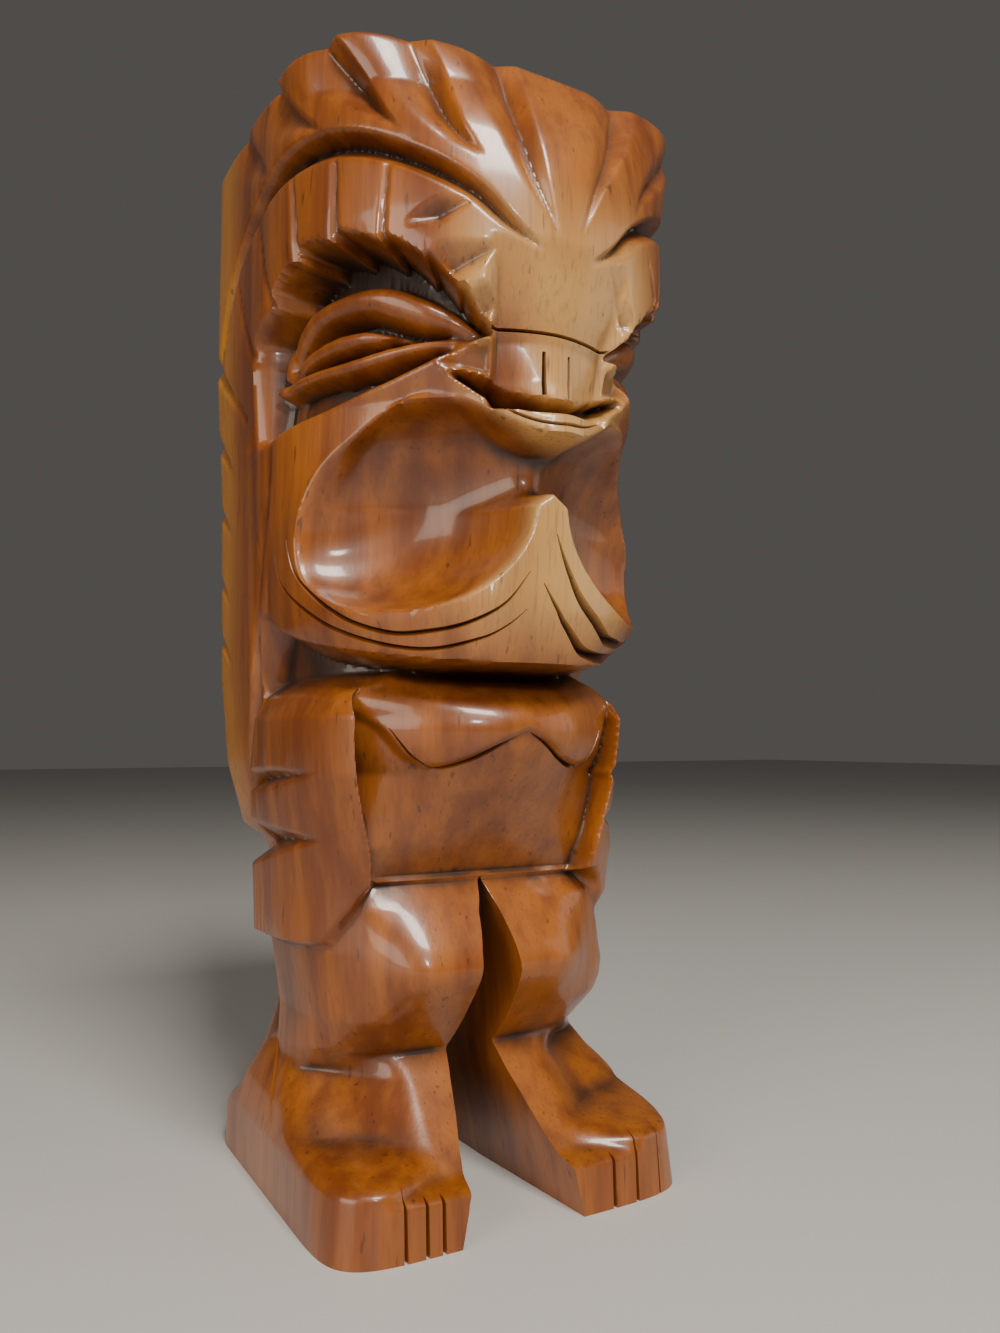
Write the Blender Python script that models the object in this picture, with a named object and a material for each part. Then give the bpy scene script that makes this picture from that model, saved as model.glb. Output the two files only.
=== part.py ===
# Tiki statue: one block of wood, sawn to its profiles and then carved with gouge and knife.
# The figure faces -Y and stands on its two soles. Its halves match as far as hand carving does.
#
# The carving is laid out on a drawing in small units, STATUE_UNITS of them to the height.
# On that drawing v is the way round the block from the middle of the front, u the same with a
# sign, plus on the figure's +X half and minus on its -X half, z the height above
# the soles, x the half width and y the depth, with the toes at y = 0 and the back at larger y.

import bpy
import bmesh
import numpy as np

NAME = "tiki_statue"

# Driving sizes in metres
STATUE_HEIGHT = 0.206
BLOCK_WIDTH = 0.080
BLOCK_DEPTH = 0.087
FOOT_GAP_WIDTH = 0.0235
TOE_CUT_WIDTH = 0.0013
TOE_CUT_DEPTH = 0.0024
MOUTH_DEPTH = 0.0155
BROW_UNDERCUT = 0.0094
CROWN_FLUTE_DEPTH = 0.0034
EDGE_ROUNDING = 0.0016
TRIANGLES = 9600

# The drawing's own size, which the driving sizes are compared with
STATUE_UNITS = 206.0
WIDTH_UNITS = 80.0
DEPTH_UNITS = 87.0
UNIT_Z = STATUE_HEIGHT / STATUE_UNITS
UNIT_X = BLOCK_WIDTH / WIDTH_UNITS
UNIT_Y = BLOCK_DEPTH / DEPTH_UNITS

# The plain section of the log on the drawing: half an ellipse in front, straight sides behind
LOG_HALF_WIDTH = 40.0
LOG_FRONT = -15.5
LOG_SIDE = 27.0
LOG_BACK = 68.0
LOG_CORNER = 8.0
COLUMN_STEP = 0.8
ROW_STEP = 0.8


def smooth_step(value):
    """0 below zero, 1 above one, and a smooth rise between."""
    t = np.clip(value, 0.0, 1.0)
    return t * t * (3.0 - 2.0 * t)


def through(z, *points):
    """Straight runs through (height, value) points, given from the soles upward."""
    heights, values = zip(*points)
    return np.interp(z, heights, values)


def curve_through(points, steps=10):
    """A smooth curve through a few points, by Catmull and Rom's rule."""
    p = np.array([points[0], *points, points[-1]], dtype=float)
    t = np.linspace(0.0, 1.0, steps, endpoint=False)[:, None]
    runs = []
    for a, b, c, d in zip(p, p[1:], p[2:], p[3:]):
        runs.append(0.5 * (2 * b + (c - a) * t + (2 * a - 5 * b + 4 * c - d) * t ** 2
                           + (3 * b - a - 3 * c + d) * t ** 3))
    return np.vstack(runs + [p[-1:]])


class Log:
    """The nominal section: where v falls on it, as shares of half width and depth."""

    def __init__(self):
        t = np.linspace(0.0, np.pi / 2, 2001)
        x = LOG_HALF_WIDTH * np.sin(t)
        y = LOG_SIDE - (LOG_SIDE - LOG_FRONT) * np.cos(t)
        self.front_v = np.concatenate([[0.0], np.cumsum(np.hypot(np.diff(x), np.diff(y)))])
        self.front_t = t
        self.side = self.front_v[-1]
        self.corner = self.side + LOG_BACK - LOG_CORNER - LOG_SIDE
        self.behind = self.corner + LOG_CORNER * np.pi / 2
        self.half = self.behind + LOG_HALF_WIDTH - LOG_CORNER

    def angle(self, v):
        return np.interp(v, self.front_v, self.front_t)


LOG = Log()


def front_section(v, half_width, front, side, squareness):
    """The front half of a section: a superellipse from the middle to the side."""
    t = LOG.angle(v)
    c, s = np.cos(t), np.sin(t)
    reach = (np.abs(c) ** squareness + np.abs(s) ** squareness) ** (-1.0 / squareness)
    return half_width * s * reach, side - (side - front) * c * reach


def back_section(v, half_width, side, back):
    """The rear half: a straight side, a round corner and a flat back."""
    r = LOG_CORNER
    q = np.clip((v - LOG.corner) / r, 0.0, np.pi / 2)
    run = np.clip((v - LOG.side) / (LOG.corner - LOG.side), 0.0, 1.0)
    flat = np.clip((v - LOG.behind) / (LOG.half - LOG.behind), 0.0, 1.0)
    x = (half_width - r + r * np.cos(q)) * (1.0 - flat)
    y = side + (back - r - side) * run + r * np.sin(q)
    return x, y


# The sections' sizes up the figure

def leg_section(v, sign, z):
    """Thighs, knees, shins and feet; the feet are higher outside than inside."""
    near = through(z, (0, 34.6), (11, 34.6), (17, 33), (24, 30), (33, 29.5), (46, 31.5), (58, 30.5))
    far = through(z, (0, 37.3), (11, 37.3), (15, 37.6), (17, 36.4), (19, 34.8), (22, 33.6), (27, 31), (29, 31.5),
                  (33, 33.5), (36, 35), (39, 35.4), (42, 34.6), (48, 33.4), (58, 32))
    half = np.where(sign > 0, far, near)
    side = through(z, (0, 30), (12, 34), (26, 45), (60, 45))
    squareness = through(z, (0, 7), (10, 6), (14, 4.4), (26, 3.2), (44, 3.6), (60, 4))
    knee = along(z, ((20, 27), (26.6, 20.8), (32, 15.4), (38, 10.6), (42.5, 8.2), (46, 9.0), (50, 11.4), (54, 14.2),
                     (58.5, 17.8)))
    inner = np.where(z < 26.6, through(z, (0, 0), (8.5, 0.4), (9.6, 5), (17, 12.5), (26.2, 21.0)), knee)
    foot = through(z, (0, 0), (11, 0.4), (12.2, 4), (13.4, 17), (17, 22), (22.6, 30), (24, 27.5))
    shin = np.maximum(knee, through(z, (24, 27.5), (27, 21.0), (30, 14.0)))
    outer = np.where(z < 24.0, foot, shin)
    x = front_section(v, half, 0.0, side, squareness)[0]
    share = smooth_step((x - 13.0) / 14.0)
    return front_section(v, half, inner + (outer - inner) * share, side, squareness)


def arm_section(v, sign, z):
    """Neck, shoulders, arms and hands, as wide as the figure."""
    near = through(z, (46, 34.6), (56, 35.0), (66, 35.6), (78, 37.0), (88, 37.2), (92, 35), (95, 31), (106, 31))
    far = through(z, (46, 34), (50, 34.6), (53, 37.2), (62, 37.4), (66, 35.8), (78, 34.8), (88, 35.2), (92, 33),
                  (95, 28), (100, 26), (106, 30))
    half = np.where(sign > 0, far, near)
    front = through(z, (46, 14), (56, 10), (65, 4.5), (78, -1), (88, -2.8), (91, -1.5), (96, 11), (106, 12))
    side = through(z, (66, 46), (92, 38), (106, 33))
    squareness = through(z, (46, 3.4), (60, 2.9), (88, 2.6), (96, 2.5)) - 0.2 * (sign > 0)
    return front_section(v, half, front, side, squareness)


def jaw_section(v, sign, z):
    near = through(z, (95, 32.5), (100, 35), (104, 36.5), (115, 37.5), (140, 38))
    far = through(z, (95, 27), (98, 27.5), (99.5, 28.6), (101, 31), (103, 34), (105, 36), (108, 37), (115, 37.5),
                  (125, 37.6), (129, 36.6), (133, 35.8), (140, 36.4))
    front = through(z, (95, -5.5), (99, -7), (106, -8.6), (126, -10), (134, -12))
    side = through(z, (92, 38), (106, 33), (125, LOG_SIDE))
    squareness = through(z, (95, 2.15), (112, 2.1), (124, 1.9), (140, 1.6))
    return front_section(v, np.where(sign > 0, far, near), front, side, squareness)


def upper_section(v, sign, z):
    """Cheeks that run to a blunt point in front, a round brow, and a squarer crown that leans back."""
    half = through(z, (130, 38), (150, 38), (172, LOG_HALF_WIDTH), (206, 40))
    half = half - through(z, (130, 2.2), (137, 2.7), (141, 1.4), (146, 0)) * (sign > 0)
    lean = along(z, ((148, -15.5), (162, -15.5), (176, -15.4), (185, -13.9), (195, -9.4), (206, -3.0)))
    front = np.where(z < 150, through(z, (130, -15), (150, LOG_FRONT)), lean)
    squareness = through(z, (132, 1.42), (142, 1.37), (150, 1.66), (160, 2.0), (184, 2.05), (197, 2.6), (206, 3.9))
    squareness = squareness + 0.5 * sign * smooth_step((z - 184) / 20)
    return front_section(v, half, front, LOG_SIDE, squareness)


def mane_section(v, z):
    half = through(z, (0, 34.6), (11, 34.6), (17, 33.2), (24, 30.5), (32, 28.0), (46, 28.4), (58, 29), (64, 30),
                   (67, 33.6), (80, 36.5), (97, 38), (136, 38.7), (160, 40), (206, 40))
    back = through(z, (0, 71), (9, 70), (14, 63), (24, 57.5), (45, 57), (57, 59), (62, 60), (66, 65), (78, 68),
                   (206, 68))
    side = through(z, (0, 30), (12, 34), (26, 45), (66, 46), (92, 38), (106, 33), (125, LOG_SIDE))
    return back_section(v, half, side, back)


# Edges that run round the figure: the height of each for a place v

HAND_EDGE = ((0, 58.4), (22, 58.4), (26, 57.8), (33, 49.5), (38, 47.2), (65, 46.5))
JAW_EDGE = ((0, 96.4), (12, 96.5), (22, 96.9), (33, 98.0), (45, 100.0), (57, 103.0), (65, 107.0))
LIP_EDGE = ((0, 134.4), (5, 134.8), (11, 137.0), (21, 141.4), (27, 142.4), (35, 140.4), (44, 135.4), (52, 129.4),
            (58, 124.5), (65, 120))
CHEST_EDGE = ((0, 85.9), (5, 83.6), (10.2, 80.8), (15.6, 79.4), (20, 81.4), (24, 86.5), (30, 90))


def along(v, points):
    line = curve_through(points)
    return np.interp(v, line[:, 0], line[:, 1])


# Cuts and ridges laid on the drawing. Each follows a line of (v, z) points with a half width and
# a depth at either end of every run; the depth is positive into the wood.

def stroke(v, z, points, half_width, depth, shape="vee", steep_share=0.22, dome=1.0):
    line = curve_through(points, 8)
    share = np.concatenate([[0.0], np.cumsum(np.hypot(*np.diff(line, axis=0).T))])
    share /= share[-1]
    stations = np.linspace(0.0, 1.0, len(half_width))
    w = np.interp(share, stations, half_width)
    d = np.interp(share, np.linspace(0.0, 1.0, len(depth)), depth)
    result = np.zeros_like(v)
    low, high = line.min(axis=0) - max(half_width), line.max(axis=0) + max(half_width)
    near = (v > low[0]) & (v < high[0]) & (z > low[1]) & (z < high[1])
    pv, pz = v[near], z[near]
    best = np.full(pv.shape, np.inf)
    cut = np.zeros(pv.shape)
    for i in range(len(line) - 1):
        a, b = line[i], line[i + 1]
        run = b - a
        length = max(float(run @ run), 1e-12)
        t = np.clip(((pv - a[0]) * run[0] + (pz - a[1]) * run[1]) / length, 0.0, 1.0)
        dv, dz = pv - a[0] - t * run[0], pz - a[1] - t * run[1]
        gap = np.hypot(dv, dz)
        width = w[i] + t * (w[i + 1] - w[i])
        deep = d[i] + t * (d[i + 1] - d[i])
        steep = np.zeros(pv.shape, bool)
        if shape in ("left", "right"):
            # one steep wall: the gentle side reaches the full width, the steep side a share of it
            turn = run[0] * (pz - a[1]) - run[1] * (pv - a[0])
            steep = turn > 0 if shape == "left" else turn < 0
            width = np.where(steep, width * steep_share, width)
        ratio = np.clip(gap / np.maximum(width, 1e-6), 0.0, 1.0)
        if shape == "round":
            value = deep * np.sqrt(np.maximum(0.0, 1.0 - ratio ** 2.6))
        else:
            value = deep * np.where(steep, 1.0 - ratio, (1.0 - ratio) ** dome)
        closer = gap < best
        cut = np.where(closer, value, cut)
        best = np.minimum(best, gap)
    result[near] = cut
    return result


# Each flute: its line of (u, z) points, half widths, depths as shares of the deepest flute, and
# the share of its width that the steep wall takes
FLUTES = (
    (((-2.6, 169.2), (-6.0, 179), (-7.6, 190), (-7.6, 201), (-7.4, 209)), (0.5, 4.5, 7.5, 8.5),
     (0.1, 0.7, 0.94, 0.5), 0.45),
    (((-15.6, 181.0), (-20.0, 187.5), (-22.6, 199), (-23.6, 209)), (0.4, 5.5, 9, 10), (0.1, 1.0, 0.94, 0.41), 0.42),
    (((-28.9, 186.2), (-32.2, 191), (-37.6, 201), (-41.0, 209)), (0.4, 5.0, 10, 11), (0.1, 0.94, 0.88, 0.59), 0.36),
    (((-44.5, 189.8), (-55, 198.4), (-66, 209)), (0.4, 8, 12), (0.1, 0.94, 0.26), 0.34),
    (((-64, 189), (-74, 198), (-85, 209)), (0.4, 7, 9), (0.1, 0.53, 0.12), 0.3),
    (((2.2, 170.2), (6.6, 179.5), (12.0, 188.5), (16.4, 198), (19.5, 209)), (0.5, 2.6, 5.0, 7.5, 8.0),
     (0.1, 0.47, 0.76, 0.88, 0.76), 0.36),
    (((17.6, 179.4), (24, 187), (33.5, 197.5), (43, 209)), (0.5, 4.0, 8, 9), (0.1, 0.59, 0.53, 0.24), 0.34),
    (((45, 190), (55, 199), (65, 209)), (0.5, 7, 9), (0.1, 0.76, 0.3), 0.3),
    (((66, 189), (75, 198), (86, 209)), (0.5, 7, 8), (0.1, 0.47, 0.24), 0.3))


def crown(u, z):
    """Flutes that fan out over the headdress, each with one steep wall."""
    deepest = CROWN_FLUTE_DEPTH / UNIT_Y
    cut = np.zeros_like(u)
    for line, half_widths, shares, steep_share in FLUTES:
        depths = [deepest * share for share in shares]
        cut = np.maximum(cut, stroke(u, z, line, half_widths, depths, "right", steep_share, 1.7))
    return cut


def crescent(v, z):
    """The long groove that parts the headdress from the brow and runs out down the side."""
    line = ((3.2, 164.6), (10.3, 169.6), (16.0, 175.0), (22.4, 179.2), (29.2, 182.8), (36.6, 186.0), (45, 188.0),
            (55, 188.4), (66, 187.6), (77, 184.8), (85, 181), (90, 176), (95, 167), (97, 158))
    return stroke(v, z, line, (0.5, 2.6, 3.2, 3.6, 4.2, 4.4, 4.2, 3.4, 2.6, 1.6),
                  (0.4, 3.0, 4.6, 5.2, 5.4, 5.2, 4.2, 3.0, 1.8, 0.2), "left", 0.3)


BROW_EDGE = ((12.5, 151.5), (16, 154.8), (20.8, 160), (27, 164.4), (34, 167.4), (44, 169), (54, 168.0), (64, 162.6),
             (73, 155.5))
SHINGLES = (12.5, 16.0, 20.0, 25.6, 33.2, 42.4, 52.0, 62.0, 71.3)
TEETH = (0.8, 1.0, 1.4, 1.8, 2.3, 2.8, 3.2, 3.2)
GROOVES = (((33.0, 167), (31.6, 180)), ((42.4, 168.5), (42.0, 183)), ((52.2, 167.8), (53.4, 184)),
           ((62.4, 163.5), (66, 172), (70, 184)), ((71.6, 156), (80, 168), (85, 180)), ((79, 147), (90, 158)))
NOTCHES = ((((-17.6, 172.6), (-22.6, 171.2), (-28.5, 169.6)), (0.3, 2.5, 0.8), (0.2, 2.6, 0.2)),
           (((-12.0, 165.8), (-21.0, 162.4)), (0.3, 3.9), (0.2, 3.4)),
           (((-4.9, 160.8), (-15.2, 155.6)), (0.3, 3.7), (0.2, 3.4)),
           (((1.2, 161.1), (4.4, 157.0), (7.4, 152.4)), (0.3, 1.4, 1.8), (0.2, 1.8, 2.4)),
           (((8.6, 167.4), (12.0, 163.2), (15.6, 158.0)), (0.3, 1.5, 1.9), (0.2, 1.9, 2.6)),
           (((22.2, 173.0), (27.6, 167.0)), (0.3, 1.6), (0.2, 2.2)))


def brow_edge(v):
    """The brow band's lower edge: a row of shingles, each ending in a point on the middle's side."""
    saw = np.zeros_like(v)
    for inner, outer, tooth in zip(SHINGLES, SHINGLES[1:], TEETH):
        share = (v - inner) / (outer - inner)
        saw = np.where((share >= 0) & (share < 1), tooth * np.abs(share) ** 0.8, saw)
    return along(v, BROW_EDGE) + saw - 0.6


def eye(v, z):
    """The hollow under the brow with the lids and the ball of a nearly closed eye in it."""
    deep = BROW_UNDERCUT / UNIT_Y
    top = brow_edge(v)
    bottom = along(v, ((12, 151), (16.6, 150.0), (19, 149.2), (24, 147.9), (28.2, 146.6), (35, 144.9), (40, 143.9),
                       (50, 142.0), (61, 140.2), (67, 138.6)))
    side = smooth_step((v - 12.8) / 1.4) * smooth_step((72 - v) / 2.0)
    inside = smooth_step((top - z) / 0.9) * smooth_step((z - bottom) / 2.6) * side
    floor = deep * through(z, (136, 0.55), (143, 0.66), (149, 0.78), (158, 1.0), (170, 1.25))
    mounds = np.zeros_like(v)
    for points, half_widths, heights in (
            (((14, 151.8), (18, 153.2), (23, 155.2), (29, 157.0), (38, 159.9), (46, 160.3), (55, 159.6), (63, 157.0),
              (67.5, 153)),
             (0.8, 2.0, 3.0, 3.4, 2.8, 2.5, 2.6, 3.0, 2.4), (1.4, 3.4, 4.8, 5.6, 5.9, 6.0, 5.8, 5.0, 3.4)),
            (((30, 152.7), (34, 153.2), (40, 153.8), (46, 153.9), (52, 153.7), (58, 153.1), (65, 151.6)),
             (0.3, 0.9, 1.9, 2.1, 2.0, 1.9, 1.6), (1.6, 3.2, 4.8, 5.2, 5.0, 4.6, 3.8)),
            (((13.5, 151.2), (20, 151.4), (27, 151.1), (33, 150.5), (38, 149.9), (47, 149.2), (58, 149.3),
              (67, 149.0)),
             (0.8, 1.3, 1.5, 1.8, 1.8, 1.7, 1.6, 1.6), (1.4, 3.2, 4.4, 5.2, 5.4, 5.4, 5.2, 4.6))):
        mounds = np.maximum(mounds, stroke(v, z, points, half_widths, heights, "round"))
    return inside * np.maximum(floor - mounds, 1.0)


def brow(u, v, z):
    """Grooves between the shingles, leaves down the side and notches beside the nose plate."""
    cut = np.zeros_like(v)
    for points in GROOVES:
        cut = np.maximum(cut, stroke(v, z, points, (1.4, 1.0), (1.8, 1.1), "left", 0.3))
    for points, half_widths, depths in NOTCHES:
        cut = np.maximum(cut, stroke(u, z, points, half_widths, depths))
    return cut


def nose(v, z):
    """The plate between the eyes slopes back to a saw line, with a block of teeth below it."""
    across = smooth_step((15.5 - v) / 2.5)
    plate = through(z, (140, 3.2), (145, 4.2), (151.5, 4.6), (153.8, 4.0), (167, 0.2), (168, 0))
    slit = stroke(v, z, ((0, 153.2), (13.5, 153.2)), (0.9, 0.9), (2.4, 2.4))
    low = along(v, ((0, 141.4), (9, 142.4), (15, 144.5), (19, 145.5), (23.5, 146.0)))
    top = along(v, ((0, 138.9), (8, 139.4), (14, 141.3), (19, 143.9), (23.5, 146.2)))
    gap = smooth_step((low - z) / 1.0 + 0.4) * smooth_step((z - top) / 1.0 + 0.4) * smooth_step((23.5 - v) / 2.5)
    teeth = stroke(v, z, ((3.0, 143.3), (3.0, 149.6)), (0.8, 0.8), (1.3, 1.3))
    inner_side = smooth_step((v - 13) / 2.0) * smooth_step((26 - v) / 6.0)
    cheek = 3.2 * inner_side * smooth_step((151 - z) / 1.6) * smooth_step((z - low) / 1.6)
    return np.maximum(across * (z > 139.5) * plate, cheek) + slit + teeth + 6.0 * gap


def mouth(v, z):
    """One of the two round bowls of the open mouth, and the thin lines round its rim."""
    deep = MOUTH_DEPTH / UNIT_Y
    centre_v, centre_z, half_v, half_z = 28.6 - 0.11 * (z - 123.5), 123.5, 25.2, 17.7
    # above the tongue the two bowls flow together over the middle
    across = np.where((v < 6) & (z > 126.6), v ** 2 / 12 + 3, v)
    inner_half = np.where(z > 124, 25.0 + (z - 124) * 1.6, 25.0)
    half = np.where(across < centre_v, inner_half, half_v)
    ratio = np.abs((across - centre_v) / half) ** 2.1 + np.abs((z - centre_z) / half_z) ** 2.1
    bowl = deep * np.maximum(0.0, 1.0 - ratio) ** 0.6
    throat = 8.0 * smooth_step((14 - across) / 10.0) * smooth_step((z - 126.6) / 0.8) * smooth_step((137 - z) / 1.0)
    bowl = np.maximum(bowl, throat)
    lines = np.zeros_like(v)
    for points, depth in ((((0.6, 119), (6.8, 108.6), (15.5, 103.4), (23, 102), (31, 102), (41, 105.4),
                            (52, 112.6), (59, 123)), 1.3),
                          (((0.6, 110.5), (4.6, 105), (12, 100.6), (23, 98.9), (33, 100.2), (44, 104),
                            (58, 112), (65, 122)), 1.2)):
        lines = np.maximum(lines, stroke(v, z, points, (0.9, 0.9), (depth, depth)))
    return bowl + np.where(bowl > 0, 0.0, lines)


def mane(v, z):
    """A groove behind the cheek and the arm, and slanting nicks down the back corners."""
    line = ((66.8, 160), (67, 135), (69, 118), (68, 104), (67, 92), (67.5, 80), (67, 66))
    cut = stroke(v, z, line, (0.8, 1.8, 1.8, 2.2, 2.2), (0.5, 1.6, 1.8, 3.0, 3.6))
    for start, end, size in (((103, 165), (80.5, 147.2), 3.2), ((104, 149), (88, 137.6), 3.0),
                             ((104, 134), (90.3, 125.4), 2.6), ((103, 118.5), (91, 111.4), 2.2),
                             ((101, 105), (87.6, 98.8), 2.0)):
        cut = np.maximum(cut, stroke(v, z, (end, start), (0.3, size), (0.2, size * 1.2), "right"))
    return cut


def arms(u, v, z):
    """Wrist and elbow notches, and the fine lines between the fingers."""
    cut = np.zeros_like(v)
    for line, half_widths, depths in (
            (((-40, 78.2), (-50, 77.4), (-66, 76.0)), (0.3, 1.7, 2.0), (0.3, 2.4, 3.6)),
            (((-38, 66.6), (-50, 65.6), (-66, 64.2)), (0.3, 2.6, 4.4), (0.3, 3.6, 7.0)),
            (((26, 77.8), (35, 77.4), (60, 76.4)), (0.4, 3.4, 3.6), (0.3, 3.4, 6.6)),
            (((26, 69.0), (35, 68.6), (60, 67.0)), (0.4, 3.6, 3.8), (0.3, 3.6, 7.6))):
        cut = np.maximum(cut, stroke(u, z, line, half_widths, depths))
    for at in (56.5, 59.2, 61.9):
        cut = np.maximum(cut, stroke(v, z, ((at, 46), (at, 57)), (0.6, 0.6), (1.0, 0.2)))
    return cut


def torso_panel(x, z):
    """How far back the chest and belly lie between the arms, with a step at the chest's lower edge."""
    bend = through(z, (58, 0.0), (65, 0.004), (78, 0.0205), (88, 0.0205), (93, 0.014), (96, 0.0))
    depth = along(z, ((50, 24), (58, 18.3), (68, 10.6), (79, 2.2), (84, -0.3), (88.5, 0.0), (92.5, 4.0), (95.5, 12.0),
                      (98, 16)))
    return depth + bend * x ** 2 - 1.3 * smooth_step((z - along(x, CHEST_EDGE)) / 0.9 + 0.5)


def panel_half_width(sign, z):
    near = along(z, ((54, 22.6), (58, 23), (64, 24), (71, 26), (79, 27.8), (88, 28.4), (92, 27.6), (95, 22), (98, 16)))
    far = along(z, ((54, 20.6), (58, 21), (64, 21.6), (71, 23), (79, 24.6), (88, 26), (92, 26), (95, 21), (98, 16)))
    return np.where(sign > 0, far, near)


def surface(v, sign, z):
    """Every point of the carved surface, on the drawing."""
    u = sign * v
    legs = leg_section(v, sign, z)
    arm = arm_section(v, sign, z)
    jaw = jaw_section(v, sign, z)
    upper = upper_section(v, sign, z)
    hand_share = smooth_step((z - along(v, HAND_EDGE)) / 0.8 + 0.5)
    jaw_share = smooth_step((z - along(v, JAW_EDGE)) / 0.8 + 0.5)
    # the lip ends in a crease in front and runs out softly towards the side
    lip_softness = 1.2 + 14.0 * smooth_step((v - 42) / 16)
    lip_share = smooth_step((z - along(v, LIP_EDGE)) / lip_softness + 0.5)
    x = legs[0] + (arm[0] - legs[0]) * hand_share
    y = legs[1] + (arm[1] - legs[1]) * hand_share
    # chest and belly between the arms
    panel = smooth_step((panel_half_width(sign, z) - x) / 1.0 + 0.5) * hand_share
    y = y + (torso_panel(x, z) - y) * panel
    x = x + (jaw[0] - x) * jaw_share
    y = y + (jaw[1] - y) * jaw_share
    x = x + (upper[0] - x) * lip_share
    y = y + (upper[1] - y) * lip_share
    # the mane takes over behind the side
    behind = v > LOG.side
    mx, my = mane_section(v, z)
    x = np.where(behind, mx, x)
    y = np.where(behind, my, y)
    # relief, cut square to the log's own surface
    relief = np.maximum.reduce([crown(u, z), crescent(v, z), brow(u, v, z), eye(v, z), mane(v, z)])
    relief = np.maximum(relief, nose(v, z) * lip_share)
    relief = relief + mouth(v, z) * (1 - lip_share) * jaw_share + arms(u, v, z)
    rim = EDGE_ROUNDING / UNIT_Z
    rise = np.clip((z - (STATUE_UNITS - rim)) / rim, 0.0, 1.0)
    relief = relief + rim * (1.0 - np.sqrt(np.maximum(0.0, 1.0 - rise ** 2)))
    nx, ny = inward(v)
    return np.stack([sign * (x + relief * nx), y + relief * ny, z], axis=-1)


def inward(v):
    """The direction into the wood on the plain log."""
    t = LOG.angle(v)
    nx, ny = -np.sin(t) * (LOG_SIDE - LOG_FRONT), np.cos(t) * LOG_HALF_WIDTH
    q = np.clip((v - LOG.corner) / LOG_CORNER, 0.0, np.pi / 2)
    nx = np.where(v > LOG.side, -np.cos(q), nx)
    ny = np.where(v > LOG.side, -np.sin(q), ny)
    length = np.hypot(nx, ny)
    return nx / length, ny / length


def carved_block():
    """The closed surface: rows of points up the figure, joined into a tube with two ends."""
    columns = int(round(LOG.half / COLUMN_STEP))
    rows = int(round(STATUE_UNITS / ROW_STEP))
    v = np.linspace(0.0, LOG.half, columns + 1)
    round_v = np.concatenate([v, v[-2:0:-1]])
    sign = np.concatenate([np.ones(columns + 1), -np.ones(columns - 1)])
    grid_z, grid_v = np.meshgrid(np.linspace(0.0, STATUE_UNITS, rows + 1), round_v, indexing="ij")
    points = soften(surface(grid_v, np.broadcast_to(sign, grid_v.shape), grid_z), 1)
    points = points * (UNIT_X, UNIT_Y, UNIT_Z)
    around = len(round_v)
    mesh = bpy.data.meshes.new(NAME)
    corner = np.arange(around)
    following = (corner + 1) % around
    faces = []
    for row in range(len(points) - 1):
        low, high = row * around, (row + 1) * around
        faces += np.stack([low + corner, low + following, high + following, high + corner], 1).tolist()
    faces.append(corner[::-1].tolist())
    faces.append(((len(points) - 1) * around + corner).tolist())
    mesh.from_pydata(points.reshape(-1, 3).tolist(), [], faces)
    mesh.update()
    return mesh


def soften(points, passes):
    """Sandpaper: each point drifts towards its neighbours, but keeps its height."""
    for _ in range(passes):
        ring = (np.roll(points, 1, axis=1) + 2 * points + np.roll(points, -1, axis=1)) / 4
        inner = (ring[:-2] + 2 * ring[1:-1] + ring[2:]) / 4
        points = np.concatenate([ring[:1], inner, ring[-1:]])
    return points


# Cutters

def new_object(name, mesh, collection):
    obj = bpy.data.objects.new(name, mesh)
    collection.objects.link(obj)
    return obj


def loft(name, rings, collection):
    """A closed solid through a few rings of the same number of points."""
    count = len(rings[0])
    faces = [tuple(reversed(range(count)))]
    for k in range(len(rings) - 1):
        for i in range(count):
            j = (i + 1) % count
            faces.append((k * count + i, k * count + j, (k + 1) * count + j, (k + 1) * count + i))
    faces.append(tuple((len(rings) - 1) * count + i for i in range(count)))
    mesh = bpy.data.meshes.new(name)
    mesh.from_pydata([tuple(p) for ring in rings for p in ring], [], faces)
    shape = bmesh.new()
    shape.from_mesh(mesh)
    bmesh.ops.recalc_face_normals(shape, faces=shape.faces)
    shape.to_mesh(mesh)
    shape.free()
    return new_object(name, mesh, collection)


def leg_gap(collection):
    """The opening between the legs: narrow at the fork, wide at the toes, closing to the rear."""
    half_floor = FOOT_GAP_WIDTH / 2
    share = ((-4, 1.0), (0, 1.0), (7, 0.88), (13, 0.75), (22, 0.56), (26.5, 0.48), (36, 0.42), (46, 0.32),
             (52.5, 0.2), (58.2, 0.02))
    rings = []
    for y, narrowing in ((-12, 1.12), (33, 0.78), (90, 0.62)):
        outline = [(half_floor * s * narrowing, y * UNIT_Y, z * UNIT_Z) for z, s in share]
        rings.append(outline + [(-x, yy, zz) for x, yy, zz in reversed(outline)])
    return loft("leg_gap_cutter", rings, collection)


def toe_cuts(collection):
    """Three saw cuts down the front of each foot."""
    cutters = []
    for side, places in ((-1, (15.4, 18.4, 22.2)), (1, (18.8, 24.0, 29.6))):
        for at in places:
            x = side * at * UNIT_X
            w, d = TOE_CUT_WIDTH / 2, TOE_CUT_DEPTH
            rings = []
            for z, share in ((-3, 1.0), (9.5, 1.0), (13.5, 1.6)):
                front = -4 * UNIT_Y
                rings.append([(x - w, front, z * UNIT_Z), (x + w, front, z * UNIT_Z),
                              (x + w, 0.4 * UNIT_Y, z * UNIT_Z), (x, d * share, z * UNIT_Z),
                              (x - w, 0.4 * UNIT_Y, z * UNIT_Z)])
            cutters.append(loft("toe_cutter", rings, collection))
    return cutters


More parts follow.
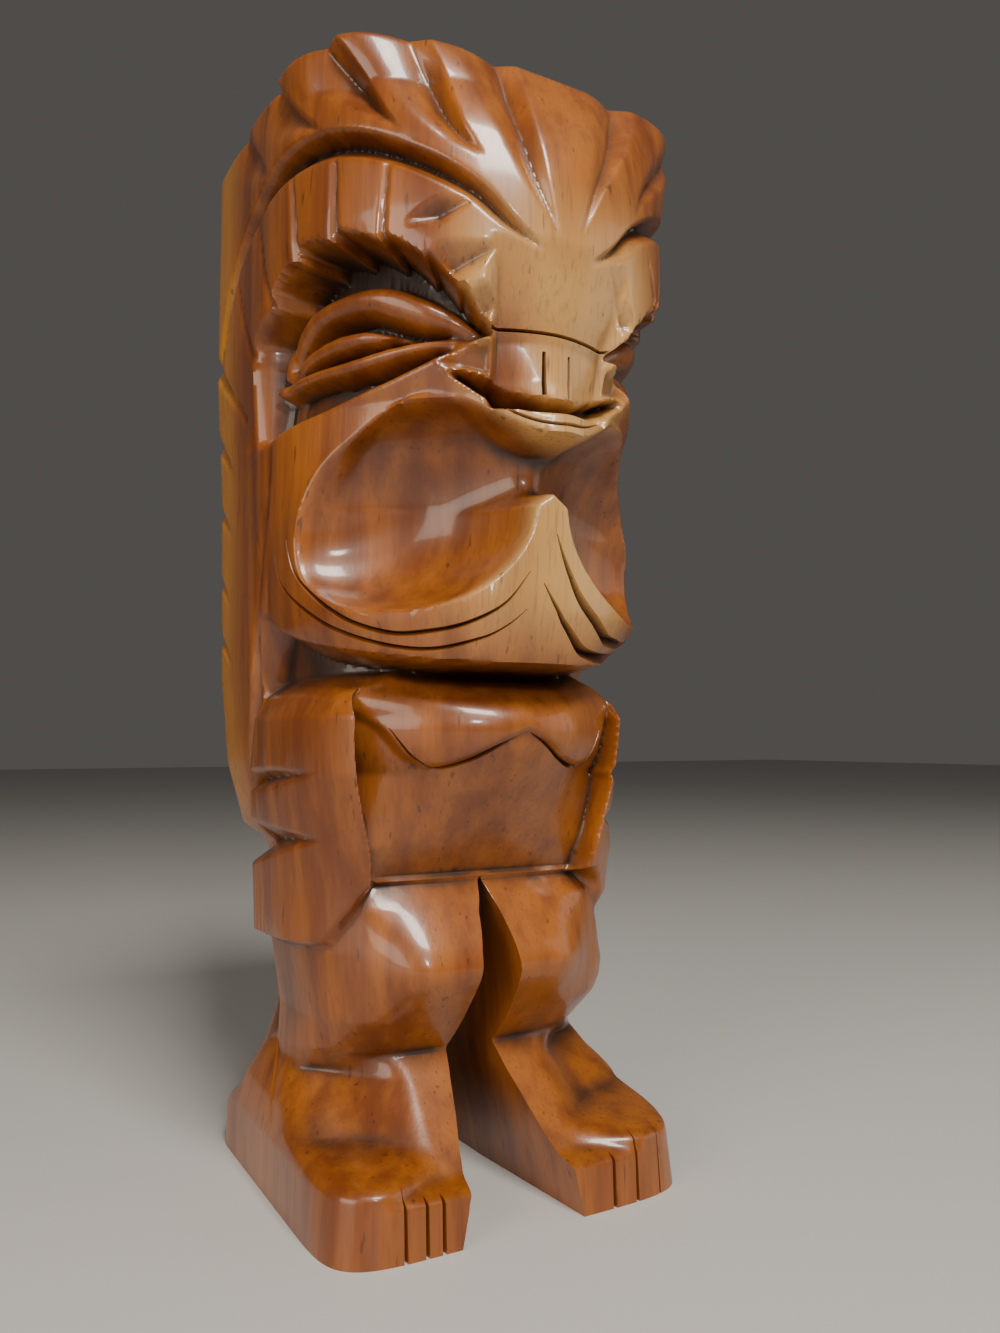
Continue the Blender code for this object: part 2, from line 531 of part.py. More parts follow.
def cut(obj, cutters):
    for cutter in cutters:
        cutter.hide_render = True
        cutter.display_type = "WIRE"
        modifier = obj.modifiers.new(cutter.name, "BOOLEAN")
        modifier.operation = "DIFFERENCE"
        modifier.solver = "EXACT"
        modifier.object = cutter


def wood():
    material = bpy.data.materials.new("carved_wood")
    material.use_nodes = True
    shader = material.node_tree.nodes["Principled BSDF"]
    shader.inputs["Base Color"].default_value = (0.30, 0.10, 0.025, 1.0)
    shader.inputs["Roughness"].default_value = 0.28
    shader.inputs["Metallic"].default_value = 0.0
    return material


def clear_scene():
    for obj in list(bpy.data.objects):
        bpy.data.objects.remove(obj)


def baked(obj):
    """A mesh with the object's modifiers applied."""
    graph = bpy.context.evaluated_depsgraph_get()
    return bpy.data.meshes.new_from_object(obj.evaluated_get(graph))


def main():
    clear_scene()
    parts = bpy.data.collections.new(NAME)
    cutters = bpy.data.collections.new("cutters")
    for collection in (parts, cutters):
        bpy.context.scene.collection.children.link(collection)
    statue = new_object(NAME, carved_block(), parts)
    cut(statue, [leg_gap(cutters)] + toe_cuts(cutters))
    mesh = baked(statue)
    statue.modifiers.clear()
    statue.data = mesh
    # the drawing has the toes at y = 0: the origin goes to the middle of the footprint's box
    points = np.empty(len(mesh.vertices) * 3)
    mesh.vertices.foreach_get("co", points)
    points = points.reshape(-1, 3)
    points[:, 1] -= (points[:, 1].min() + points[:, 1].max()) / 2
    mesh.vertices.foreach_set("co", points.ravel())
    triangles = sum(len(p.vertices) - 2 for p in mesh.polygons)
    fewer = statue.modifiers.new("fewer_faces", "DECIMATE")
    fewer.ratio = TRIANGLES / triangles
    mesh.materials.append(wood())
    mesh.shade_smooth()
    mesh.set_sharp_from_angle(angle=0.7)


main()
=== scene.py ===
import math

import bpy
import bmesh
import numpy as np
from mathutils import Matrix, Vector


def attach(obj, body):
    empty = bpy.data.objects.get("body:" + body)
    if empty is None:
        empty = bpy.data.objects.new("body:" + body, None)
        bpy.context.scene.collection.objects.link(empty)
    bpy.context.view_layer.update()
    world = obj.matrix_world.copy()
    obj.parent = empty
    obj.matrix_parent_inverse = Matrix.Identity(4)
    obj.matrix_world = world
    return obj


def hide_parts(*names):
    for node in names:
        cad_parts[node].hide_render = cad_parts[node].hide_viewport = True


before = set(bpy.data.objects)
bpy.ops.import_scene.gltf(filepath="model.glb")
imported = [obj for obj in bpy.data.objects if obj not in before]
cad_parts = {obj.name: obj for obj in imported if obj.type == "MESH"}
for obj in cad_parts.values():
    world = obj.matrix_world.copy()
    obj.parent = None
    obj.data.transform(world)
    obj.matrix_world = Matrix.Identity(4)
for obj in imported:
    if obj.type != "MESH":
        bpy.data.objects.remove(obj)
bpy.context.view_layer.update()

# The figure is laid out like a carver's drawing in millimetres: v goes round the log from the
# middle of the front, z up from the soles, x is half the width and y the depth, toes at y = 0.

mm = 0.001
log = {"halfWidth": 40.0, "front": -15.5, "side": 27.0, "back": 68.0, "corner": 8.0, "height": 206.0}
grid = {"frontStep": 0.42, "rearStep": 0.9, "rowStep": 0.45, "triangles": 176000, "sanding": 1}


def smoothStep(value):
    t = np.clip(value, 0.0, 1.0)
    return t * t * (3.0 - 2.0 * t)


def through(z, *points):  # straight runs through (height, value) points
    heights, values = zip(*points)
    return np.interp(z, heights, values)


def curveThrough(points, steps=10):  # a smooth line through a few points
    p = np.array([points[0], *points, points[-1]], dtype=float)
    t = np.linspace(0.0, 1.0, steps, endpoint=False)[:, None]
    runs = [0.5 * (2 * b + (c - a) * t + (2 * a - 5 * b + 4 * c - d) * t ** 2
                   + (3 * b - a - 3 * c + d) * t ** 3)
            for a, b, c, d in zip(p, p[1:], p[2:], p[3:])]
    return np.vstack(runs + [p[-1:]])


def along(v, points):
    line = curveThrough(points)
    return np.interp(v, line[:, 0], line[:, 1])


arcAngle = np.linspace(0.0, np.pi / 2, 2001)
arcLength = np.concatenate([[0.0], np.cumsum(np.hypot(
    np.diff(log["halfWidth"] * np.sin(arcAngle)),
    np.diff(log["side"] - (log["side"] - log["front"]) * np.cos(arcAngle))))])
sideV = arcLength[-1]
cornerV = sideV + log["back"] - log["corner"] - log["side"]
behindV = cornerV + log["corner"] * np.pi / 2
halfV = behindV + log["halfWidth"] - log["corner"]


def frontSection(v, half, front, side, squareness):
    t = np.interp(v, arcLength, arcAngle)
    c, s = np.cos(t), np.sin(t)
    reach = (np.abs(c) ** squareness + np.abs(s) ** squareness) ** (-1.0 / squareness)
    return half * s * reach, side - (side - front) * c * reach


def backSection(v, half, side, back):
    r = log["corner"]
    q = np.clip((v - cornerV) / r, 0.0, np.pi / 2)
    run = np.clip((v - sideV) / (cornerV - sideV), 0.0, 1.0)
    flat = np.clip((v - behindV) / (halfV - behindV), 0.0, 1.0)
    return (half - r + r * np.cos(q)) * (1.0 - flat), side + (back - r - side) * run + r * np.sin(q)


def inward(v):  # into the wood, square to the plain log
    t = np.interp(v, arcLength, arcAngle)
    nx, ny = -np.sin(t) * (log["side"] - log["front"]), np.cos(t) * log["halfWidth"]
    q = np.clip((v - cornerV) / log["corner"], 0.0, np.pi / 2)
    nx = np.where(v > sideV, -np.cos(q), nx)
    ny = np.where(v > sideV, -np.sin(q), ny)
    length = np.hypot(nx, ny)
    return nx / length, ny / length


# A gouge stroke follows a line of (v, z) points; half widths and depths are spread evenly over it.
# vee and round cut in, left and right have one steep wall. A dome above 1 leaves the wood beside
# the cut rounded.

def stroke(v, z, points, halfWidth, depth, shape="vee", steepShare=0.22, dome=1.0):
    line = curveThrough(points, 8)
    share = np.concatenate([[0.0], np.cumsum(np.hypot(*np.diff(line, axis=0).T))])
    share /= share[-1]
    w = np.interp(share, np.linspace(0.0, 1.0, len(halfWidth)), halfWidth)
    d = np.interp(share, np.linspace(0.0, 1.0, len(depth)), depth)
    result = np.zeros_like(v)
    low, high = line.min(axis=0) - max(halfWidth), line.max(axis=0) + max(halfWidth)
    near = (v > low[0]) & (v < high[0]) & (z > low[1]) & (z < high[1])
    pv, pz = v[near], z[near]
    best, cut = np.full(pv.shape, np.inf), np.zeros(pv.shape)
    for i in range(len(line) - 1):
        a, run = line[i], line[i + 1] - line[i]
        t = np.clip(((pv - a[0]) * run[0] + (pz - a[1]) * run[1]) / max(float(run @ run), 1e-12), 0.0, 1.0)
        gap = np.hypot(pv - a[0] - t * run[0], pz - a[1] - t * run[1])
        width = w[i] + t * (w[i + 1] - w[i])
        deep = d[i] + t * (d[i + 1] - d[i])
        steep = np.zeros(pv.shape, bool)
        if shape in ("left", "right"):
            turn = run[0] * (pz - a[1]) - run[1] * (pv - a[0])
            steep = turn > 0 if shape == "left" else turn < 0
            width = np.where(steep, width * steepShare, width)
        ratio = np.clip(gap / np.maximum(width, 1e-6), 0.0, 1.0)
        if shape == "round":
            value = deep * np.sqrt(np.maximum(0.0, 1.0 - ratio ** 2.6))
        else:
            value = deep * np.where(steep, 1.0 - ratio, (1.0 - ratio) ** dome)
        cut = np.where(gap < best, value, cut)
        best = np.minimum(best, gap)
    result[near] = cut
    return result


crown = {
    "lean": ((148, -15.5), (162, -15.5), (176, -15.4), (185, -13.9), (195, -9.4),
             (206, -3.0)), "rounding": 1.6,
    # line, half widths, depths and share of the steep wall; u < 0 is the viewer's left
    "flutes": (
        (((-2.6, 169.2), (-6.0, 179), (-7.6, 190), (-7.6, 201), (-7.4, 209)), (0.5, 4.5, 7.5, 8.5),
         (0.3, 2.4, 3.2, 1.7), 0.45),
        (((-15.6, 181.0), (-20.0, 187.5), (-22.6, 199), (-23.6, 209)), (0.4, 5.5, 9, 10),
         (0.3, 3.4, 3.2, 1.4), 0.42),
        (((-28.9, 186.2), (-32.2, 191), (-37.6, 201), (-41.0, 209)), (0.4, 5.0, 10, 11),
         (0.3, 3.2, 3.0, 2.0), 0.36),
        (((-44.5, 189.8), (-55, 198.4), (-66, 209)), (0.4, 8, 12), (0.3, 3.2, 0.9), 0.34),
        (((-64, 189), (-74, 198), (-85, 209)), (0.4, 7, 9), (0.3, 1.8, 0.4), 0.3),
        (((2.2, 170.2), (6.6, 179.5), (12.0, 188.5), (16.4, 198), (19.5, 209)), (0.5, 2.6, 5.0, 7.5, 8.0),
         (0.3, 1.6, 2.6, 3.0, 2.6), 0.36),
        (((17.6, 179.4), (24, 187), (33.5, 197.5), (43, 209)), (0.5, 4.0, 8, 9), (0.3, 2.0, 1.8, 0.8), 0.34),
        (((45, 190), (55, 199), (65, 209)), (0.5, 7, 9), (0.3, 2.6, 1.0), 0.3),
        (((66, 189), (75, 198), (86, 209)), (0.5, 7, 8), (0.3, 1.6, 0.8), 0.3)),
    "crescent": ((3.2, 164.6), (10.3, 169.6), (16.0, 175.0), (22.4, 179.2), (29.2, 182.8), (36.6, 186.0),
                 (45, 188.0),
                 (55, 188.4), (66, 187.6), (77, 184.8), (85, 181), (90, 176), (95, 167), (97, 158)),
    "crescentWidth": (0.5, 2.6, 3.2, 3.6, 4.2, 4.4, 4.2, 3.4, 2.6, 1.6),
    "crescentDepth": (0.4, 3.0, 4.6, 5.2, 5.4, 5.2, 4.2, 3.0, 1.8, 0.2),
}


def carveCrown(u, v, z):
    cut = np.zeros_like(v)
    for line, widths, depths, steepShare in crown["flutes"]:
        cut = np.maximum(cut, stroke(u, z, line, widths, depths, "right", steepShare=steepShare, dome=1.7))
    return np.maximum(cut, stroke(v, z, crown["crescent"], crown["crescentWidth"], crown["crescentDepth"],
                                  "left",
                                  steepShare=0.3))


brow = {
    "edge": ((12.5, 151.5), (16, 154.8), (20.8, 160), (27, 164.4), (34, 167.4), (44, 169), (54, 168.0),
             (64, 162.6),
             (73, 155.5)),
    "shingles": (12.5, 16.0, 20.0, 25.6, 33.2, 42.4, 52.0, 62.0, 71.3), "teeth": (0.8, 1.0, 1.4, 1.8, 2.3,
                                                                                  2.8, 3.2, 3.2),
    "grooves": (((33.0, 167), (31.6, 180)), ((42.4, 168.5), (42.0, 183)), ((52.2, 167.8), (53.4, 184)),
                ((62.4, 163.5), (66, 172), (70, 184)), ((71.6, 156), (80, 168), (85, 180)), ((79, 147),
                                                                                             (90, 158))),
    # u < 0 is the viewer's left; line, half widths, depths
    "notches": ((((-17.6, 172.6), (-22.6, 171.2), (-28.5, 169.6)), (0.3, 2.5, 0.8), (0.2, 2.6, 0.2)),
                (((-12.0, 165.8), (-21.0, 162.4)), (0.3, 3.9), (0.2, 3.4)),
                (((-4.9, 160.8), (-15.2, 155.6)), (0.3, 3.7), (0.2, 3.4)),
                (((1.2, 161.1), (4.4, 157.0), (7.4, 152.4)), (0.3, 1.4, 1.8), (0.2, 1.8, 2.4)),
                (((8.6, 167.4), (12.0, 163.2), (15.6, 158.0)), (0.3, 1.5, 1.9), (0.2, 1.9, 2.6)),
                (((22.2, 173.0), (27.6, 167.0)), (0.3, 1.6), (0.2, 2.2))),
}


def browEdge(v):  # a row of shingles, each ending in a point on the middle's side
    saw = np.zeros_like(v)
    for inner, outer, tooth in zip(brow["shingles"], brow["shingles"][1:], brow["teeth"]):
        share = (v - inner) / (outer - inner)
        saw = np.where((share >= 0) & (share < 1), tooth * np.abs(share) ** 0.8, saw)
    return along(v, brow["edge"]) + saw - 0.6


def carveBrow(u, v, z):
    cut = np.zeros_like(v)
    for points in brow["grooves"]:
        cut = np.maximum(cut, stroke(v, z, points, (1.3, 0.9), (1.5, 0.9), "left", steepShare=0.3))
    for points, halfWidths, depths in brow["notches"]:
        cut = np.maximum(cut, stroke(u, z, points, halfWidths, depths))
    return cut


eye = {
    "undercut": 9.4,
    "bottom": ((12, 151), (16.6, 150.0), (19, 149.2), (24, 147.9), (28.2, 146.6), (35, 144.9),
               (40, 143.9), (50, 142.0),
               (61, 140.2), (67, 138.6)),
    "upperLid": (((14, 151.8), (18, 153.2), (23, 155.2), (29, 157.0), (38, 159.9), (46, 160.3),
                  (55, 159.6), (63, 157.0),
                  (67.5, 153)),
                 (0.8, 2.0, 3.0, 3.4, 2.8, 2.5, 2.6, 3.0, 2.4),
                 (1.4, 3.4, 4.8, 5.6, 5.9, 6.0, 5.8, 5.0, 3.4)),
    "ball": (((30, 152.7), (34, 153.2), (40, 153.8), (46, 153.9), (52, 153.7), (58, 153.1), (65, 151.6)),
             (0.3, 0.9, 1.9, 2.1, 2.0, 1.9, 1.6), (1.6, 3.2, 4.8, 5.2, 5.0, 4.6, 3.8)),
    "lowerLid": (((13.5, 151.2), (20, 151.4), (27, 151.1), (33, 150.5), (38, 149.9), (47, 149.2),
                  (58, 149.3), (67, 149.0)),
                 (0.8, 1.3, 1.5, 1.8, 1.8, 1.7, 1.6, 1.6), (1.4, 3.2, 4.4, 5.2, 5.4, 5.4, 5.2, 4.6)),
}


def carveEye(v, z):
    top, bottom = browEdge(v), along(v, eye["bottom"])
    side = smoothStep((v - 12.8) / 1.4) * smoothStep((72 - v) / 2.0)
    inside = smoothStep((top - z) / 0.7) * smoothStep((z - bottom) / 2.6) * side
    floor = eye["undercut"] * through(z, (136, 0.55), (143, 0.66), (149, 0.78), (158, 1.0), (170, 1.25))
    mounds = np.zeros_like(v)
    for name in ("upperLid", "ball", "lowerLid"):
        mounds = np.maximum(mounds, stroke(v, z, *eye[name], shape="round"))
    return inside * np.maximum(floor - mounds, 1.0)


nose = {
    "slope": ((140, 3.2), (145, 4.2), (151.5, 4.6), (153.8, 4.0), (167, 0.2), (168, 0)),
    "teethBottom": ((0, 141.4), (9, 142.4), (15, 144.5), (19, 145.5), (23.5, 146.0)),
    "lipTop": ((0, 138.9), (8, 139.4), (14, 141.3), (19, 143.9), (23.5, 146.2)), "gapDepth": 6.0,
}


def carveNose(v, z):
    across = smoothStep((15.5 - v) / 2.5)
    plate = through(z, *nose["slope"])
    low, top = along(v, nose["teethBottom"]), along(v, nose["lipTop"])
    gap = smoothStep((low - z) / 1.0 + 0.4) * smoothStep((z - top) / 1.0 + 0.4) * smoothStep((23.5 - v) / 2.5)
    innerSide = smoothStep((v - 13) / 2.0) * smoothStep((26 - v) / 6.0)
    cheek = 3.2 * innerSide * smoothStep((151 - z) / 1.6) * smoothStep((z - low) / 1.6)
    return np.maximum(across * (z > 139.5) * plate, cheek) + nose["gapDepth"] * gap


mouth = {"depth": 15.5, "centreZ": 123.5, "halfV": 25.2, "halfZ": 17.7, "throat": 8.0}


def carveMouth(v, z):
    v = np.where((v < 6) & (z > 126.6), v ** 2 / 12 + 3, v)  # the two bowls flow together above the tongue
    centreV = 28.6 - 0.11 * (z - mouth["centreZ"])
    inner = np.where(z > 124, 25.0 + (z - 124) * 1.6, 25.0)
    half = np.where(v < centreV, inner, mouth["halfV"])
    ratio = np.abs((v - centreV) / half) ** 2.1 + np.abs((z - mouth["centreZ"]) / mouth["halfZ"]) ** 2.1
    bowl = mouth["depth"] * np.maximum(0.0, 1.0 - ratio) ** 0.6
    height = smoothStep((z - 126.6) / 0.8) * smoothStep((137 - z) / 1.0)
    throat = mouth["throat"] * smoothStep((14 - v) / 10.0) * height
    return np.maximum(bowl, throat)


mane = {"nicks": (((103, 165), (80.5, 147.2), 3.2), ((104, 149), (88, 137.6), 3.0), ((104, 134),
                                                                                     (90.3, 125.4), 2.6),
                  ((103, 118.5), (91, 111.4), 2.2), ((101, 105), (87.6, 98.8), 2.0)),
        "inner": ((66.8, 160), (67, 135), (69, 118), (68, 104), (67, 92), (67.5, 80), (67, 66))}


def carveMane(v, z):
    cut = stroke(v, z, mane["inner"], (0.8, 1.8, 1.8, 2.2, 2.2), (0.5, 1.6, 1.8, 3.0, 3.6))
    for start, end, size in mane["nicks"]:
        cut = np.maximum(cut, stroke(v, z, (end, start), (0.3, size), (0.2, size * 1.2), "right"))
    return cut


arm = {  # u < 0 is the viewer's left; line, half widths and depths
    "notches": ((((-40, 78.2), (-50, 77.4), (-66, 76.0)), (0.3, 1.7, 2.0), (0.3, 2.4, 3.6)),
                (((-38, 66.6), (-50, 65.6), (-66, 64.2)), (0.3, 2.6, 4.4), (0.3, 3.6, 7.0)),
                (((26, 77.8), (35, 77.4), (60, 76.4)), (0.4, 3.4, 3.6), (0.3, 3.4, 6.6)),
                (((26, 69.0), (35, 68.6), (60, 67.0)), (0.4, 3.6, 3.8), (0.3, 3.6, 7.6))),
}


def carveArms(u, z):
    cut = np.zeros_like(u)
    for line, halfWidths, depths in arm["notches"]:
        cut = np.maximum(cut, stroke(u, z, line, halfWidths, depths))
    return cut


def legSection(v, sign, z):  # thighs, knees, shins and feet; the feet are higher outside than inside
    near = through(z, (0, 34.6), (11, 34.6), (17, 33), (24, 30), (33, 29.5), (46, 31.5), (58, 30.5))
    far = through(z, (0, 37.3), (11, 37.3), (15, 37.6), (17, 36.4), (19, 34.8), (22, 33.6), (27, 31),
                  (29, 31.5),
                  (33, 33.5), (36, 35), (39, 35.4), (42, 34.6), (48, 33.4), (58, 32))
    half = np.where(sign > 0, far, near)
    side = through(z, (0, 30), (12, 34), (26, 45), (60, 45))
    squareness = through(z, (0, 7), (10, 6), (14, 4.4), (26, 3.2), (44, 3.6), (60, 4))
    knee = along(z, ((20, 27), (26.6, 20.8), (32, 15.4), (38, 10.6), (42.5, 8.2), (46, 9.0), (50, 11.4),
                     (54, 14.2),
                     (58.5, 17.8)))
    inner = np.where(z < 26.6, through(z, (0, 0), (8.5, 0.4), (9.6, 5), (17, 12.5), (26.2, 21.0)), knee)
    outer = np.where(z < 24.0, through(z, (0, 0), (11, 0.4), (12.2, 4), (13.4, 17), (17, 22), (22.6, 30),
                                       (24, 27.5)),
                     np.maximum(knee, through(z, (24, 27.5), (27, 21.0), (30, 14.0))))
    x = frontSection(v, half, 0.0, side, squareness)[0]
    return frontSection(v, half, inner + (outer - inner) * smoothStep((x - 13.0) / 14.0), side, squareness)


def armSection(v, sign, z):
    near = through(z, (46, 34.6), (56, 35.0), (66, 35.6), (78, 37.0), (88, 37.2), (92, 35), (95, 31),
                   (106, 31))
    far = through(z, (46, 34), (50, 34.6), (53, 37.2), (62, 37.4), (66, 35.8), (78, 34.8), (88, 35.2),
                  (92, 33),
                  (95, 28), (100, 26), (106, 30))
    half = np.where(sign > 0, far, near)
    front = through(z, (46, 14), (56, 10), (65, 4.5), (78, -1), (88, -2.8), (91, -1.5), (96, 11), (106, 12))
    side = through(z, (66, 46), (92, 38), (106, 33))
    squareness = through(z, (46, 3.4), (60, 2.9), (88, 2.6), (96, 2.5)) - 0.2 * (sign > 0)
    return frontSection(v, half, front, side, squareness)


def jawSection(v, sign, z):
    near = through(z, (95, 32.5), (100, 35), (104, 36.5), (115, 37.5), (140, 38))
    far = through(z, (95, 27), (98, 27.5), (99.5, 28.6), (101, 31), (103, 34), (105, 36), (108, 37),
                  (115, 37.5),
                  (125, 37.6), (129, 36.6), (133, 35.8), (140, 36.4))
    front = through(z, (95, -5.5), (99, -7), (106, -8.6), (126, -10), (134, -12))
    side = through(z, (92, 38), (106, 33), (125, log["side"]))
    squareness = through(z, (95, 2.15), (112, 2.1), (124, 1.9), (140, 1.6))
    return frontSection(v, np.where(sign > 0, far, near), front, side, squareness)


def upperSection(v, sign, z):  # blunt cheeks, a round brow, and a squarer crown that leans back
    half = through(z, (130, 38), (150, 38), (172, log["halfWidth"]), (206, 40))
    half = half - through(z, (130, 2.2), (137, 2.7), (141, 1.4), (146, 0)) * (sign > 0)
    front = np.where(z < 150, through(z, (130, -15), (150, log["front"])), along(z, crown["lean"]))
    squareness = through(z, (132, 1.42), (142, 1.37), (150, 1.66), (160, 2.0), (184, 2.05), (197, 2.6),
                         (206, 3.9))
    squareness = squareness + 0.5 * sign * smoothStep((z - 184) / 20)
    return frontSection(v, half, front, log["side"], squareness)


def maneSection(v, z):
    half = through(z, (0, 34.6), (11, 34.6), (17, 33.2), (24, 30.5), (32, 28.0), (46, 28.4), (58, 29),
                   (64, 30), (67, 33.6),
                   (80, 36.5), (97, 38), (136, 38.7), (160, 40), (206, 40))
    back = through(z, (0, 71), (9, 70), (14, 63), (24, 57.5), (45, 57), (57, 59), (62, 60), (66, 65),
                   (78, 68), (206, 68))
    side = through(z, (0, 30), (12, 34), (26, 45), (66, 46), (92, 38), (106, 33), (125, log["side"]))
    return backSection(v, half, side, back)


edges = {
    "hand": ((0, 58.4), (22, 58.4), (26, 57.8), (33, 49.5), (38, 47.2), (65, 46.5)),
    "jaw": ((0, 96.4), (12, 96.5), (22, 96.9), (33, 98.0), (45, 100.0), (57, 103.0), (65, 107.0)),
    "lip": ((0, 134.4), (5, 134.8), (11, 137.0), (21, 141.4), (27, 142.4), (35, 140.4), (44, 135.4),
            (52, 129.4),
            (58, 124.5), (65, 120)),
}


chest = {
    "edge": ((0, 85.9), (5, 83.6), (10.2, 80.8), (15.6, 79.4), (20, 81.4), (24, 86.5), (30, 90)), "step": 1.3,
    "bend": ((58, 0.0), (65, 0.004), (78, 0.0205), (88, 0.0205), (93, 0.014), (96, 0.0)),
    "depth": ((50, 24), (58, 18.3), (68, 10.6), (79, 2.2), (84, -0.3), (88.5, 0.0), (92.5, 4.0),
              (95.5, 12.0), (98, 16)),
    "nearHalf": ((54, 22.6), (58, 23), (64, 24), (71, 26), (79, 27.8), (88, 28.4), (92, 27.6), (95, 22),
                 (98, 16)),
    "farHalf": ((54, 20.6), (58, 21), (64, 21.6), (71, 23), (79, 24.6), (88, 26), (92, 26), (95, 21),
                (98, 16)),
}


def torsoPanel(x, z):  # how far back the chest and belly lie between the arms
    flat = along(z, chest["depth"]) + through(z, *chest["bend"]) * x ** 2
    return flat - chest["step"] * smoothStep((z - along(x, chest["edge"])) / 0.7 + 0.5)


def surface(v, sign, z):  # every point of the carved surface, on the drawing
    x, y = legSection(v, sign, z)
    handShare = smoothStep((z - along(v, edges["hand"])) / 0.7 + 0.5)
    jawShare = smoothStep((z - along(v, edges["jaw"])) / 0.6 + 0.5)
    lipShare = smoothStep((z - along(v, edges["lip"])) / (0.9 + 14.0 * smoothStep((v - 42) / 16)) + 0.5)
    ax, ay = armSection(v, sign, z)
    x, y = x + (ax - x) * handShare, y + (ay - y) * handShare
    panelHalf = np.where(sign > 0, along(z, chest["farHalf"]), along(z, chest["nearHalf"]))
    panel = smoothStep((panelHalf - x) / 0.8 + 0.5) * handShare
    y = y + (torsoPanel(x, z) - y) * panel
    for (sx, sy), share in ((jawSection(v, sign, z), jawShare), (upperSection(v, sign, z), lipShare)):
        x, y = x + (sx - x) * share, y + (sy - y) * share
    mx, my = maneSection(v, z)
    x, y = np.where(v > sideV, mx, x), np.where(v > sideV, my, y)
    u = sign * v
    relief = np.maximum.reduce([carveCrown(u, v, z), carveBrow(u, v, z), carveEye(v, z), carveMane(v, z)])
    relief = np.maximum(relief, carveNose(v, z) * lipShare)
    relief = relief + carveMouth(v, z) * (1 - lipShare) * jawShare + carveArms(u, z)
    rim = crown["rounding"]
    rise = np.clip((z - (log["height"] - rim)) / rim, 0.0, 1.0)
    relief = relief + rim * (1.0 - np.sqrt(np.maximum(0.0, 1.0 - rise ** 2)))
    nx, ny = inward(v)
    return np.stack([sign * (x + relief * nx), y + relief * ny, z], axis=-1)


def carvedBlock():
    front = np.linspace(0.0, sideV, int(round(sideV / grid["frontStep"])) + 1)
    rear = np.linspace(sideV, halfV, int(round((halfV - sideV) / grid["rearStep"])) + 1)[1:]
    v = np.concatenate([front, rear])
    roundV = np.concatenate([v, v[-2:0:-1]])
    sign = np.concatenate([np.ones(len(v)), -np.ones(len(v) - 2)])
    rows = np.linspace(0.0, log["height"], int(round(log["height"] / grid["rowStep"])) + 1)
    gridZ, gridV = np.meshgrid(rows, roundV, indexing="ij")
    points = surface(gridV, np.broadcast_to(sign, gridV.shape), gridZ)
    for _ in range(grid["sanding"]):
        ring = (np.roll(points, 1, axis=1) + 2 * points + np.roll(points, -1, axis=1)) / 4
        points = np.concatenate([ring[:1], (ring[:-2] + 2 * ring[1:-1] + ring[2:]) / 4, ring[-1:]])
    around = len(roundV)
    corner = np.arange(around)
    following = (corner + 1) % around
    faces = []
    for row in range(len(rows) - 1):
        low, high = row * around, (row + 1) * around
        faces += np.stack([low + corner, low + following, high + following, high + corner], 1).tolist()
    faces.append(corner[::-1].tolist())
    faces.append(((len(rows) - 1) * around + corner).tolist())
    mesh = bpy.data.meshes.new("carvedFigure")
    mesh.from_pydata((points.reshape(-1, 3) * mm).tolist(), [], faces)
    mesh.update()
    return mesh


def newObject(name, mesh):
    obj = bpy.data.objects.new(name, mesh)
    bpy.context.scene.collection.objects.link(obj)
    return obj


def applyModifiers(obj):
    bpy.context.view_layer.update()
    mesh = bpy.data.meshes.new_from_object(obj.evaluated_get(bpy.context.evaluated_depsgraph_get()))
    obj.modifiers.clear()
    obj.data = mesh


def loft(name, rings, closedEnds=True):
    count = len(rings[0])
    faces = [[k * count + i, k * count + (i + 1) % count, (k + 1) * count + (i + 1) % count,
              (k + 1) * count + i]
             for k in range(len(rings) - 1) for i in range(count)]
    if closedEnds:
        faces += [list(reversed(range(count))), [(len(rings) - 1) * count + i for i in range(count)]]
    mesh = bpy.data.meshes.new(name)
    mesh.from_pydata([tuple(p) for ring in rings for p in ring], [], faces)
    shape = bmesh.new()
    shape.from_mesh(mesh)
    bmesh.ops.remove_doubles(shape, verts=shape.verts, dist=1e-7)
    bmesh.ops.recalc_face_normals(shape, faces=shape.faces)
    shape.to_mesh(mesh)
    shape.free()
    return newObject(name, mesh)


legGap = {
    "halfFloor": 11.75,
    "shares": ((-4, 1.0), (0, 1.0), (7, 0.88), (13, 0.75), (22, 0.56), (26.5, 0.48), (36, 0.42), (46, 0.32),
               (52.5, 0.2), (58.2, 0.02)),
    "narrowing": ((-12, 1.12), (33, 0.78), (90, 0.62)),
}
toeCuts = {"width": 0.8, "depth": 2.4, "near": (15.4, 18.4, 22.2), "far": (18.8, 24.0, 29.6)}


def cutLegGap():
    rings = []
    for y, narrowing in legGap["narrowing"]:
        outline = [(legGap["halfFloor"] * s * narrowing * mm, y * mm, z * mm) for z, s in legGap["shares"]]
        rings.append(outline + [(-x, yy, zz) for x, yy, zz in reversed(outline)])
    return loft("legGapCutter", rings)


def cutToes():
    cutters = []
    w, d = toeCuts["width"] / 2, toeCuts["depth"]
    for side, places in ((-1, toeCuts["near"]), (1, toeCuts["far"])):
        for at in places:
            x = side * at
            rings = [[(x - w, -4, z), (x + w, -4, z), (x + w * 0.9, 0.2, z), (x, d * share, z),
                      (x - w * 0.9, 0.2, z)]
                     for z, share in ((-3, 0.8), (9.5, 1.0), (14.5, 2.2))]
            cutters.append(loft("toeCutter", [[(a * mm, b * mm, c * mm) for a, b,
                                               c in ring] for ring in rings]))
    return cutters


